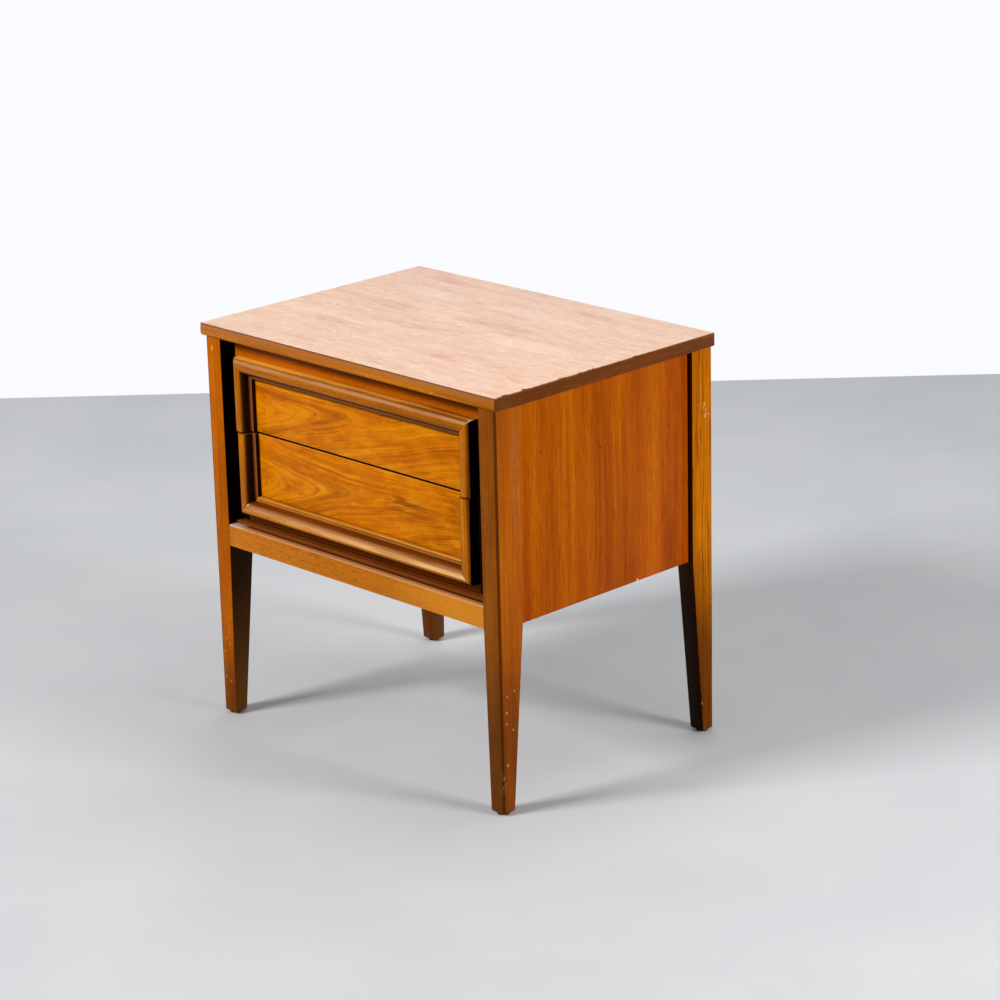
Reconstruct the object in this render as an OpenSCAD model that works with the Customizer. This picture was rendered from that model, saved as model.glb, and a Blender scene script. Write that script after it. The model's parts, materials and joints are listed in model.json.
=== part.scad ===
// Nightstand with two drawers.
// Units are millimetres, +Z is up and the drawers open towards -Y.
// The origin is on the floor, under the middle of the top.

/* [Overall] */
// Width of the top, left to right
width = 559; // [520:1:620]
// Depth of the top, front to back
depth = 406; // [392:1:440]
// Height from the floor to the upper surface of the top
height = 559; // [545:1:600]

/* [Top] */
// Thickness of the whole top
top_thickness = 18; // [16:0.5:22]
// Thickness of the decorative laminate sheet
laminate_thickness = 1.2; // [0.8:0.1:1.6]
// Depth of the solid edging along the front
front_edging = 29; // [22:1:32]
// Thickness of the edging strips on the ends and the rear
side_edging = 3; // [2:0.5:5]
// Radius of the lower front corner of the edging
edging_radius = 5.5; // [3:0.5:7]
// Overhang of the top past the legs at each end
side_overhang = 5; // [3:0.5:10]
// Overhang of the top past the front legs
front_overhang = 5; // [3:0.5:8]

/* [Legs] */
// Width of each leg, left to right
leg_width = 28.5; // [27:0.5:32]
// Depth of the front legs, front to back
front_leg_depth = 41.5; // [40:0.5:44]
// Depth of the rear legs, front to back
rear_leg_depth = 38.5; // [36:0.5:42]
// Width of a foot at its lower end
foot_width = 23; // [20:0.5:26]
// Depth of a foot at its lower end
foot_depth = 20; // [19:0.5:26]
// Radius of the eased outer corner of a leg
leg_ease = 2.5; // [1:0.5:3]
// Small bevel around the lower end of a foot
foot_bevel = 1.5; // [0.5:0.5:2]
// Diameter of a foot glide
glide_diameter = 16; // [12:0.5:17]
// Height of a foot glide
glide_height = 2.5; // [2:0.5:6]
// Diameter of the nail of a foot glide
glide_nail_diameter = 3; // [2:0.5:4]
// Length of the nail of a foot glide
glide_nail_length = 14; // [8:1:20]

/* [Case] */
// Height of the lower edge of the rails and side panels
case_bottom = 249.5; // [235:0.5:255]
// Height of the bottom rails
rail_height = 30.5; // [27:0.5:32]
// Thickness of the front bottom rail
front_rail_thickness = 22; // [18:0.5:24]
// Thickness of the rear bottom rail
rear_rail_thickness = 20; // [16:0.5:22]
// Radius of the upper front edge of the front rail
rail_ease = 3; // [1:0.5:4]
// Thickness of a side panel
side_panel_thickness = 12; // [9:0.5:14]
// Distance from the outer face of a leg to the side panel
panel_recess = 6.3; // [4:0.1:8]
// Width of the shadow groove at the rear edge of a side panel
shadow_groove_width = 2.5; // [2:0.5:5]
// Depth of that shadow groove
shadow_groove_depth = 5; // [3:0.5:6]
// Thickness of the back panel
back_panel_thickness = 5; // [3:0.5:8]
// Distance from the rear faces of the legs to the back panel
back_panel_recess = 6; // [4:0.5:10]
// Thickness of the dust panel on the bottom rails
dust_panel_thickness = 4; // [3:0.5:5]
// Distance from the front rail face to the dust panel
dust_panel_setback = 12; // [9:0.5:14]
// Radius of the upper front edge of the dust panel
dust_panel_ease = 1.5; // [0.5:0.1:1.5]
// Width of a front stile beside the drawer fronts
stile_width = 5; // [3:0.5:6]
// Depth of a front stile, front to back
stile_depth = 12; // [8:0.5:15]
// Thickness of the frame between the drawers
divider_thickness = 12; // [10:0.5:13]
// Depth of the front divider
front_divider_depth = 40; // [30:1:60]
// Depth of the rear divider
rear_divider_depth = 20; // [15:1:24]
// Width of the drawer runners in that frame
web_runner_width = 44; // [40:0.5:60]
// Height of the stretchers and cleats under the top
stretcher_height = 18; // [14:0.5:18]
// Depth of the front stretcher under the top
front_stretcher_depth = 32; // [24:1:50]
// Width of the cleats on the side panels
cleat_width = 20; // [16:0.5:22]
// Height of the bottom cleats
bottom_cleat_height = 18; // [12:0.5:24]

/* [Drawer fronts] */
// Height of the line between the drawers above the middle of the opening
split_rise = 5.7; // [-2:0.1:7]
// Gap between the two drawer fronts
split_gap = 2.4; // [1.5:0.1:4]
// Gap between a drawer front board and the case around it
front_gap = 3; // [2:0.5:4]
// Thickness of a drawer front board
front_board_thickness = 14; // [14:0.5:18]
// Gap between the front boards and the frame behind them
front_board_clearance = 2; // [1:0.5:3]
// Finger gap between a leg and the moulding frame of the upper drawer
upper_finger_gap = 20; // [18:0.5:40]
// Finger gap between a leg and the moulding frame of the lower drawer
lower_finger_gap = 22.5; // [18:0.5:40]
// Distance from the bottom rail up to the moulding frame
frame_rise = 19.5; // [16:0.5:30]
// Distance from the underside of the top down to the moulding frame
frame_drop = 23; // [21:0.5:35]
// Width of the moulding
moulding_width = 27; // [26:0.5:31]
// Depth of the moulding, front to back
moulding_depth = 19; // [18:0.5:20]
// Width of the joint between the moulding and the face panel
joint_width = 0.5; // [0.2:0.1:1]
// Thickness of the veneered face panel
face_panel_thickness = 1; // [0.6:0.2:3]

/* [Moulding section] */
// Radius of the outer corner of the nose
nose_outer_radius = 9.5; // [8:0.5:10]
// Radius of the inner side of the nose
nose_inner_radius = 8; // [7:0.5:9]
// Distance from the outer edge to the crown of the nose
nose_crown = 12; // [11:0.5:13]
// Radius of the hollow between the nose and the inner lip
cove_radius = 2.5; // [2:0.1:3]
// Height of the lowest line of the hollow above the back of the moulding
cove_floor = 5.6; // [5:0.1:6.3]
// Height of the inner lip above the back of the moulding
lip_height = 6.6; // [6:0.2:8]
// Height of the small groove on the outer side
quirk_height = 7.5; // [4:0.5:7.5]
// Width of the small groove on the outer side
quirk_width = 1.6; // [1:0.2:2]
// Depth of the small groove on the outer side
quirk_depth = 1.2; // [0.5:0.1:2]

/* [Drawer boxes] */
// Gap between a leg and the side of a drawer box
box_side_gap = 16; // [14:0.5:24]
// Thickness of the sides and the back of a box
box_board = 12; // [9:0.5:14]
// Thickness of the bottom of a box
box_bottom = 4; // [3:0.5:5]
// Depth of the groove that holds the bottom
bottom_groove = 4; // [2:0.5:5]
// Clearance between the sides of the upper box and the stretchers
upper_box_clearance = 11.4; // [10:0.2:30]
// Clearance between the sides of the lower box and the divider
lower_box_clearance = 15.8; // [14:0.2:40]
// Drop of the back below the top of the sides
back_drop = 8; // [0:1:20]
// Clearance under the sides of a box
running_clearance = 0.4; // [0.3:0.1:1]
// Width of a centre guide
guide_width = 18; // [14:0.5:30]
// Height of a centre guide
guide_height = 8; // [6:0.5:10]
// Clearance between a centre guide and its cheeks and bottom
guide_clearance = 1.5; // [1:0.1:2]
// Width of a guide cheek under a drawer
cheek_width = 12; // [8:0.5:20]
// Length of a drawer stop block, left to right
stop_length = 20; // [12:1:40]
// Depth of a drawer stop block, front to back
stop_depth = 9; // [6:0.5:14]
// Height of a drawer stop block
stop_height = 20; // [14:1:30]
// Distance from the inner face of a leg to a drawer stop block
stop_inset = 96; // [76:1:160]
// Clearance between a closed drawer and its stop blocks
stop_clearance = 0.5; // [0.3:0.1:2]

/* [Fasteners] */
// Diameter of the shank of a top screw
screw_diameter = 4; // [3:0.5:5]
// Diameter of the head of a top screw
screw_head_diameter = 8; // [7:0.5:9]
// Height of the head of a top screw
screw_head_height = 2.5; // [2:0.5:3]
// Depth of the hole that holds a screw head
screw_pocket_depth = 6; // [4:0.5:8]
// Length of a top screw below its head
screw_length = 20; // [16:1:22]
// Distance from the inner face of a leg to the outer top screws
screw_inset = 86; // [66:1:140]
// Diameter of a back panel nail
nail_diameter = 1.6; // [1.2:0.2:2]
// Diameter of the head of a back panel nail
nail_head_diameter = 5; // [4:0.5:7]
// Thickness of the head of a back panel nail
nail_head_height = 0.8; // [0.6:0.1:1.2]
// Length of a back panel nail
nail_length = 18; // [14:1:20]
// Distance from the inner face of a leg to the outer nails
nail_inset = 56; // [46:1:96]
// Clearance around a screw or a nail
shank_clearance = 0.3; // [0.2:0.1:0.5]

/* [Hidden] */

$fn = 96;

// Planes of the case, counted from the origin.
top_underside = height - top_thickness;
core_top = height - laminate_thickness;
top_half = width / 2;
front_edge = -depth / 2;
rear_edge = depth / 2;
leg_outer = top_half - side_overhang;
leg_inner = leg_outer - leg_width;
leg_front = front_edge + front_overhang;
front_leg_rear = leg_front + front_leg_depth;
rear_leg_front = rear_edge - rear_leg_depth;
panel_outer = leg_outer - panel_recess;
panel_inner = panel_outer - side_panel_thickness;
rail_top = case_bottom + rail_height;
dust_top = rail_top + dust_panel_thickness;
back_panel_rear = rear_edge - back_panel_recess;
back_panel_front = back_panel_rear - back_panel_thickness;
stretcher_bottom = top_underside - stretcher_height;
cleat_inner = panel_inner - cleat_width;

// Planes of the drawer fronts.
split_height = (rail_top + top_underside) / 2 + split_rise;
board_front = leg_front + moulding_depth;
board_rear = board_front + front_board_thickness;
board_half_width = leg_inner - stile_width - front_gap;
frame_front = board_rear + front_board_clearance;
lower_front_top = split_height - split_gap / 2;
upper_front_bottom = split_height + split_gap / 2;
lower_board_bottom = dust_top + front_gap;
upper_board_top = top_underside - front_gap;
panel_inset = moulding_width + joint_width;
upper_frame_half_width = leg_inner - upper_finger_gap;
lower_frame_half_width = leg_inner - lower_finger_gap;
frame_bottom = rail_top + frame_rise;
frame_top = top_underside - frame_drop;

// Levels of the frame between the drawers and of the boxes.
divider_bottom = split_height - divider_thickness / 2;
divider_top = split_height + divider_thickness / 2;
divider_rear = rear_leg_front + rear_divider_depth;
runner_front = frame_front + front_divider_depth;
runner_inner = panel_inner - web_runner_width;
stop_front = divider_rear - stop_depth;
box_rear = stop_front - stop_clearance;
box_half_width = leg_inner - box_side_gap;
box_inner = box_half_width - box_board;
upper_side_top = stretcher_bottom - upper_box_clearance;
lower_side_top = divider_bottom - lower_box_clearance;
cheek_inner = guide_width / 2 + guide_clearance;

// Parts of the moulding section.
nose_crown_end = max(nose_crown, nose_outer_radius);
nose_flank = nose_crown_end + nose_inner_radius;
cove_centre = nose_flank + cove_radius;

// Fastener positions.
stop_offset = leg_inner - stop_inset;
screw_offset = leg_inner - screw_inset;
nail_offset = leg_inner - nail_inset;
screw_head_top = stretcher_bottom + screw_pocket_depth;
front_screw_y = frame_front + front_stretcher_depth / 2;
rear_screw_y = (rear_leg_front + back_panel_front) / 2;
lower_nail_z = case_bottom + rail_height / 2;
upper_nail_z = top_underside - stretcher_height / 2;
core_hole_end = screw_head_top + screw_length + 1;
nail_hole_end = back_panel_rear - nail_length - 1;
glide_nail_end = glide_height + glide_nail_length;

// A block between two opposite corners.
module block(low, high) {
  translate(low)
    cube(high - low);
}

// The same child on the left and on the right.
module both_sides() {
  children();
  mirror([1, 0, 0])
    children();
}

// The child on the left when side is -1, on the right when it is 1.
module on_side(side) {
  if (side < 0)
    children();
  else
    mirror([1, 0, 0])
      children();
}

// Stretches a section, drawn with Y and Z as its two directions, along X.
module along_x(from_x, to_x) {
  translate([from_x, 0, 0])
    rotate([90, 0, 90])
      linear_extrude(height = to_x - from_x)
        children();
}

// Stretches an outline, drawn with X and Z as its two directions, along Y.
module along_y(from_y, to_y) {
  translate([0, to_y, 0])
    rotate([90, 0, 0])
      linear_extrude(height = to_y - from_y)
        children();
}

// A rectangle whose upper left corner is rounded.
module upper_left_rounded(low, high, radius) {
  translate(low)
    square([high[0] - low[0], high[1] - low[1] - radius]);
  translate([low[0] + radius, low[1]])
    square([high[0] - low[0] - radius, high[1] - low[1]]);
  translate([low[0] + radius, high[1] - radius])
    circle(r = radius);
}

// A rectangle whose lower left corner is rounded.
module lower_left_rounded(low, high, radius) {
  translate([low[0], low[1] + radius])
    square([high[0] - low[0], high[1] - low[1] - radius]);
  translate([low[0] + radius, low[1]])
    square([high[0] - low[0] - radius, high[1] - low[1]]);
  translate([low[0] + radius, low[1] + radius])
    circle(r = radius);
}

// ---- The top ----

module top_core() {
  color("BurlyWood")
    difference() {
      block([-top_half + side_edging, front_edge + front_edging, top_underside],
            [top_half - side_edging, rear_edge - side_edging, core_top]);
      top_screw_holes(top_underside - 1, core_hole_end);
    }
}

module top_laminate() {
  color("Peru")
    block([-top_half, front_edge, core_top], [top_half, rear_edge, height]);
}

module top_front_edging() {
  color("SaddleBrown")
    along_x(-top_half, top_half)
      lower_left_rounded([front_edge, top_underside],
                         [front_edge + front_edging, core_top], edging_radius);
}

module top_left_edging() {
  color("SaddleBrown")
    block([-top_half, front_edge + front_edging, top_underside],
          [-top_half + side_edging, rear_edge, core_top]);
}

module top_right_edging() {
  color("SaddleBrown")
    block([top_half - side_edging, front_edge + front_edging, top_underside],
          [top_half, rear_edge, core_top]);
}

module top_rear_edging() {
  color("SaddleBrown")
    block([-top_half + side_edging, rear_edge - side_edging, top_underside],
          [top_half - side_edging, rear_edge, core_top]);
}

// ---- Legs and glides ----

// A left leg. It is straight above case_bottom and tapers inside below it.
module left_leg(front_y, rear_y, straight_y, foot_y) {
  foot_inner = -leg_outer + foot_width;
  away = straight_y > foot_y ? -1 : 1;
  intersection() {
    along_y(front_y, rear_y)
      polygon([
        [-leg_outer + foot_bevel, glide_height], [foot_inner - foot_bevel, glide_height],
        [foot_inner, glide_height + foot_bevel], [-leg_inner, case_bottom],
        [-leg_inner, top_underside], [-leg_outer, top_underside],
        [-leg_outer, glide_height + foot_bevel]
      ]);
    along_x(-leg_outer, -leg_inner)
      leg_side(away < 0 ? front_y : rear_y, straight_y, foot_y, away);
    leg_plan(front_y, rear_y, away);
  }
}

// The side view of a leg. Its outer face is at outer_y.
module leg_side(outer_y, straight_y, foot_y, away) {
  polygon([
    [outer_y - away * foot_bevel, glide_height], [foot_y + away * foot_bevel, glide_height],
    [foot_y, glide_height + foot_bevel], [straight_y, case_bottom],
    [straight_y, top_underside], [outer_y, top_underside],
    [outer_y, glide_height + foot_bevel]
  ]);
}

// The plan of a leg, with its outer corner eased.
module leg_plan(front_y, rear_y, away) {
  linear_extrude(height = height)
    if (away < 0)
      lower_left_rounded([-leg_outer, front_y], [-leg_inner, rear_y], leg_ease);
    else
      upper_left_rounded([-leg_outer, front_y], [-leg_inner, rear_y], leg_ease);
}

// The middle of a foot, on the left.
module at_left_front_foot() {
  translate([-leg_outer + foot_width / 2, leg_front + foot_depth / 2, 0])
    children();
}

module at_left_rear_foot() {
  translate([-leg_outer + foot_width / 2, rear_edge - foot_depth / 2, 0])
    children();
}

module glide_hole() {
  cylinder(d = glide_nail_diameter + 2 * shank_clearance, h = glide_nail_end + 1);
}

module front_leg(side) {
  on_side(side)
    difference() {
      left_leg(leg_front, front_leg_rear, front_leg_rear, leg_front + foot_depth);
      at_left_front_foot()
        glide_hole();
    }
}

module rear_leg(side) {
  on_side(side)
    difference() {
      left_leg(rear_leg_front, rear_edge, rear_leg_front, rear_edge - foot_depth);
      at_left_rear_foot()
        glide_hole();
    }
}

module front_left_leg() {
  color("Sienna")
    front_leg(-1);
}

module front_right_leg() {
  color("Sienna")
    front_leg(1);
}

module rear_left_leg() {
  color("Sienna")
    rear_leg(-1);
}

module rear_right_leg() {
  color("Sienna")
    rear_leg(1);
}

module glide() {
  cylinder(d = glide_diameter, h = glide_height);
  cylinder(d = glide_nail_diameter, h = glide_nail_end);
}

module foot_glides() {
  color("DimGray")
    both_sides() {
      at_left_front_foot()
        glide();
      at_left_rear_foot()
        glide();
    }
}

// ---- Case ----

module side_panel(side) {
  on_side(side)
    difference() {
      block([-panel_outer, front_leg_rear, case_bottom],
            [-panel_inner, rear_leg_front, top_underside]);
      block([-panel_outer - 1, rear_leg_front - shadow_groove_width, case_bottom - 1],
            [-panel_outer + shadow_groove_depth, rear_leg_front + 1, top_underside + 1]);
    }
}

module left_side_panel() {
  color("Chocolate")
    side_panel(-1);
}

module right_side_panel() {
  color("Chocolate")
    side_panel(1);
}

module back_panel() {
  color("Tan")
    difference() {
      block([-leg_inner, back_panel_front, case_bottom],
            [leg_inner, back_panel_rear, top_underside]);
      back_nail_holes();
    }
}

module front_bottom_rail() {
  color("Sienna")
    along_x(-leg_inner, leg_inner)
      upper_left_rounded([leg_front, case_bottom],
                         [leg_front + front_rail_thickness, rail_top], rail_ease);
}

module rear_bottom_rail() {
  color("Tan")
    difference() {
      block([-leg_inner, back_panel_front - rear_rail_thickness, case_bottom],
            [leg_inner, back_panel_front, rail_top]);
      back_nail_holes();
    }
}

// The dust panel is notched around the legs.
module dust_panel() {
  front_y = leg_front + dust_panel_setback;
  color("Wheat")
    intersection() {
      along_x(-panel_inner, panel_inner)
        upper_left_rounded([front_y, rail_top], [back_panel_front, dust_top], dust_panel_ease);
      linear_extrude(height = height) {
        translate([-leg_inner, front_y])
          square([2 * leg_inner, back_panel_front - front_y]);
        translate([-panel_inner, front_leg_rear])
          square([2 * panel_inner, rear_leg_front - front_leg_rear]);
      }
    }
}

module bottom_cleat(side) {
  on_side(side)
    block([-panel_inner, front_leg_rear, rail_top - bottom_cleat_height],
          [-cleat_inner, rear_leg_front, rail_top]);
}

module left_bottom_cleat() {
  color("Tan")
    bottom_cleat(-1);
}

module right_bottom_cleat() {
  color("Tan")
    bottom_cleat(1);
}

module front_stile(side) {
  on_side(side)
    block([-leg_inner, board_front, dust_top],
          [-leg_inner + stile_width, board_front + stile_depth, top_underside]);
}

module left_front_stile() {
  color("Sienna")
    front_stile(-1);
}

module right_front_stile() {
  color("Sienna")
    front_stile(1);
}

module front_divider() {
  color("Tan")
    block([-leg_inner, frame_front, divider_bottom], [leg_inner, runner_front, divider_top]);
}

module rear_divider() {
  color("Tan")
    block([-leg_inner, rear_leg_front, divider_bottom], [leg_inner, divider_rear, divider_top]);
}

module web_runner(side) {
  on_side(side)
    block([-panel_inner, runner_front, divider_bottom],
          [-runner_inner, rear_leg_front, divider_top]);
}

module left_web_runner() {
  color("Tan")
    web_runner(-1);
}

module right_web_runner() {
  color("Tan")
    web_runner(1);
}

// A centre guide that stands on the level base_z.
module centre_guide(base_z) {
  block([-guide_width / 2, frame_front, base_z],
        [guide_width / 2, divider_rear, base_z + guide_height]);
}

module upper_centre_guide() {
  color("Tan")
    centre_guide(divider_top);
}

module lower_centre_guide() {
  color("Tan")
    centre_guide(dust_top);
}

module front_stretcher() {
  color("Tan")
    difference() {
      block([-leg_inner, frame_front, stretcher_bottom],
            [leg_inner, frame_front + front_stretcher_depth, top_underside]);
      top_screw_holes(stretcher_bottom - 1, core_hole_end);
      screw_pockets();
    }
}

module rear_stretcher() {
  color("Tan")
    difference() {
      block([-leg_inner, rear_leg_front, stretcher_bottom],
            [leg_inner, back_panel_front, top_underside]);
      top_screw_holes(stretcher_bottom - 1, core_hole_end);
      screw_pockets();
      back_nail_holes();
    }
}

module top_cleat(side) {
  on_side(side)
    block([-panel_inner, frame_front + front_stretcher_depth, stretcher_bottom],
          [-cleat_inner, rear_leg_front, top_underside]);
}

module left_top_cleat() {
  color("Tan")
    top_cleat(-1);
}

module right_top_cleat() {
  color("Tan")
    top_cleat(1);
}

// Two blocks that a closing drawer meets.
module drawer_stops(base_z) {
  both_sides()
    block([-stop_offset - stop_length / 2, stop_front, base_z],
          [-stop_offset + stop_length / 2, divider_rear, base_z + stop_height]);
}

module upper_drawer_stops() {
  color("Tan")
    drawer_stops(divider_top);
}

module lower_drawer_stops() {
  color("Tan")
    drawer_stops(dust_top);
}

// ---- Screws and nails ----

// The child at each screw that holds the top.
module at_top_screws() {
  for (x = [-screw_offset, 0, screw_offset])
    for (y = [front_screw_y, rear_screw_y])
      translate([x, y, 0])
        children();
}

module top_screw_holes(from_z, to_z) {
  at_top_screws()
    translate([0, 0, from_z])
      cylinder(d = screw_diameter + 2 * shank_clearance, h = to_z - from_z);
}

module screw_pockets() {
  at_top_screws()
    translate([0, 0, stretcher_bottom - 1])
      cylinder(d = screw_head_diameter + 4 * shank_clearance, h = screw_pocket_depth + 1);
}

module top_screws() {
  color("Silver")
    at_top_screws() {
      translate([0, 0, screw_head_top - screw_head_height])
        cylinder(d = screw_head_diameter, h = screw_head_height);
      translate([0, 0, screw_head_top - screw_head_height])
        cylinder(d = screw_diameter, h = screw_head_height + screw_length);
    }
}

// The child at each nail, with its Z axis along +Y, out of the back.
module at_back_nails() {
  for (x = [-nail_offset, -nail_offset / 3, nail_offset / 3, nail_offset])
    for (z = [lower_nail_z, upper_nail_z])
      translate([x, back_panel_rear, z])
        rotate([-90, 0, 0])
          children();
}

module back_nail_holes() {
  at_back_nails()
    translate([0, 0, nail_hole_end - back_panel_rear])
      cylinder(d = nail_diameter + 2 * shank_clearance, h = back_panel_rear - nail_hole_end + 1);
}

module back_panel_nails() {
  color("Silver")
    at_back_nails() {
      cylinder(d = nail_head_diameter, h = nail_head_height);
      translate([0, 0, -nail_length])
        cylinder(d = nail_diameter, h = nail_length + nail_head_height);
    }
}

// ---- Drawer fronts ----

// Half of the moulding section: the outer edge is at x = 0, the back at y = 0.
module moulding_section() {
  difference() {
    union() {
      square([nose_crown_end, moulding_depth - nose_outer_radius]);
      translate([nose_outer_radius, 0])
        square([nose_crown_end - nose_outer_radius, moulding_depth]);
      translate([nose_outer_radius, moulding_depth - nose_outer_radius])
        circle(r = nose_outer_radius);
      translate([nose_crown_end, moulding_depth - nose_inner_radius])
        circle(r = nose_inner_radius);
      square([nose_flank, moulding_depth - nose_inner_radius]);
      square([moulding_width, lip_height]);
    }
    translate([cove_centre, cove_floor + cove_radius])
      circle(r = cove_radius);
    translate([-1, quirk_height])
      square([quirk_depth + 1, quirk_width]);
    translate([-1, -nose_inner_radius])
      square([moulding_width + nose_inner_radius, nose_inner_radius]);
  }
}

// A straight bar of moulding along Z, face towards -Y, inner side towards +X.
module moulding_bar(length) {
  mirror([0, 1, 0])
    linear_extrude(height = length, center = true)
      moulding_section();
}

// The left upright of a moulding frame. Its mitre is at mitre_z.
module left_upright(half_width, mitre_z, split_z) {
  inner_z = mitre_z < split_z ? mitre_z + moulding_width : mitre_z - moulding_width;
  intersection() {
    translate([-half_width, board_front, (mitre_z + split_z) / 2])
      moulding_bar(abs(split_z - mitre_z));
    along_y(leg_front - 1, board_front)
      polygon([
        [-half_width, mitre_z], [-half_width, split_z],
        [-half_width + moulding_width, split_z], [-half_width + moulding_width, inner_z]
      ]);
  }
}

// The horizontal length of a moulding frame. Up is 1 when its inner side faces up.
module cross_length(half_width, edge_z, up) {
  intersection() {
    translate([0, board_front, edge_z])
      rotate([0, -90 * up, 0])
        moulding_bar(2 * half_width);
    along_y(leg_front - 1, board_front)
      polygon([
        [-half_width, edge_z], [half_width, edge_z],
        [half_width - moulding_width, edge_z + up * moulding_width],
        [-half_width + moulding_width, edge_z + up * moulding_width]
      ]);
  }
}

module front_board(from_z, to_z) {
  block([-board_half_width, board_front, from_z], [board_half_width, board_rear, to_z]);
}

module face_panel(half_width, from_z, to_z) {
  panel_half = half_width - panel_inset;
  block([-panel_half, board_front - face_panel_thickness, from_z],
        [panel_half, board_front, to_z]);
}

// ---- Drawer boxes ----

// The level of the upper face of a guide cheek, where the box bottom rests.
function floor_level(base_z) = base_z + guide_height + guide_clearance;

module box_side(side, base_z, side_top) {
  on_side(side)
    difference() {
      block([-box_half_width, board_rear, base_z + running_clearance],
            [-box_inner, box_rear, side_top]);
      block([-box_inner - bottom_groove, board_rear - 1, floor_level(base_z)],
            [-box_inner + 1, box_rear + 1, floor_level(base_z) + box_bottom]);
    }
}

module drawer_bottom(base_z) {
  half = box_inner + bottom_groove;
  block([-half, board_rear, floor_level(base_z)],
        [half, box_rear, floor_level(base_z) + box_bottom]);
}

module drawer_back(base_z, side_top) {
  block([-box_inner, box_rear - box_board, floor_level(base_z) + box_bottom],
        [box_inner, box_rear, side_top - back_drop]);
}

module cheek(side, base_z) {
  on_side(side)
    block([-cheek_inner - cheek_width, board_rear, base_z + guide_clearance],
          [-cheek_inner, box_rear, floor_level(base_z)]);
}

module upper_front_board() {
  color("Peru")
    front_board(upper_front_bottom, upper_board_top);
}

module upper_face_panel() {
  color("Goldenrod")
    face_panel(upper_frame_half_width, upper_front_bottom, frame_top - panel_inset);
}

module upper_top_moulding() {
  color("Sienna")
    cross_length(upper_frame_half_width, frame_top, -1);
}

module upper_left_moulding() {
  color("Sienna")
    left_upright(upper_frame_half_width, frame_top, upper_front_bottom);
}

module upper_right_moulding() {
  color("Sienna")
    on_side(1)
      left_upright(upper_frame_half_width, frame_top, upper_front_bottom);
}

module upper_left_side() {
  color("Wheat")
    box_side(-1, divider_top, upper_side_top);
}

module upper_right_side() {
  color("Wheat")
    box_side(1, divider_top, upper_side_top);
}

module upper_box_back() {
  color("Wheat")
    drawer_back(divider_top, upper_side_top);
}

module upper_box_bottom() {
  color("BurlyWood")
    drawer_bottom(divider_top);
}

module upper_left_cheek() {
  color("Tan")
    cheek(-1, divider_top);
}

module upper_right_cheek() {
  color("Tan")
    cheek(1, divider_top);
}

module lower_front_board() {
  color("Peru")
    front_board(lower_board_bottom, lower_front_top);
}

module lower_face_panel() {
  color("Goldenrod")
    face_panel(lower_frame_half_width, frame_bottom + panel_inset, lower_front_top);
}

module lower_bottom_moulding() {
  color("Sienna")
    cross_length(lower_frame_half_width, frame_bottom, 1);
}

module lower_left_moulding() {
  color("Sienna")
    left_upright(lower_frame_half_width, frame_bottom, lower_front_top);
}

module lower_right_moulding() {
  color("Sienna")
    on_side(1)
      left_upright(lower_frame_half_width, frame_bottom, lower_front_top);
}

module lower_left_side() {
  color("Wheat")
    box_side(-1, dust_top, lower_side_top);
}

module lower_right_side() {
  color("Wheat")
    box_side(1, dust_top, lower_side_top);
}

module lower_box_back() {
  color("Wheat")
    drawer_back(dust_top, lower_side_top);
}

module lower_box_bottom() {
  color("BurlyWood")
    drawer_bottom(dust_top);
}

module lower_left_cheek() {
  color("Tan")
    cheek(-1, dust_top);
}

module lower_right_cheek() {
  color("Tan")
    cheek(1, dust_top);
}

top_core();
top_laminate();
top_front_edging();
top_left_edging();
top_right_edging();
top_rear_edging();
front_left_leg();
front_right_leg();
rear_left_leg();
rear_right_leg();
foot_glides();
left_side_panel();
right_side_panel();
back_panel();
front_bottom_rail();
rear_bottom_rail();
dust_panel();
left_bottom_cleat();
right_bottom_cleat();
left_front_stile();
right_front_stile();
front_divider();
rear_divider();
left_web_runner();
right_web_runner();
upper_centre_guide();
lower_centre_guide();
front_stretcher();
rear_stretcher();
left_top_cleat();
right_top_cleat();
upper_drawer_stops();
lower_drawer_stops();
top_screws();
back_panel_nails();
upper_front_board();
upper_face_panel();
upper_top_moulding();
upper_left_moulding();
upper_right_moulding();
upper_left_side();
upper_right_side();
upper_box_back();
upper_box_bottom();
upper_left_cheek();
upper_right_cheek();
lower_front_board();
lower_face_panel();
lower_bottom_moulding();
lower_left_moulding();
lower_right_moulding();
lower_left_side();
lower_right_side();
lower_box_back();
lower_box_bottom();
lower_left_cheek();
lower_right_cheek();
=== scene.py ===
# %% [markdown]
# # A nightstand with two drawers
# This lesson dresses a finished cabinet model: a walnut case on tapered legs, with a
# wood-patterned laminate top and two drawers whose mouldings make one picture frame.
# The solids come from the construction model and keep their size and place. What is
# added here is what a cabinet maker does last: the edges are eased, the grain is chosen,
# and lacquer, stain and years of use leave their marks. Some light and shade is painted
# into the colours as well.

# %% Load the cabinet
import json
import math

import bpy
from mathutils import Matrix, Vector


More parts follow.
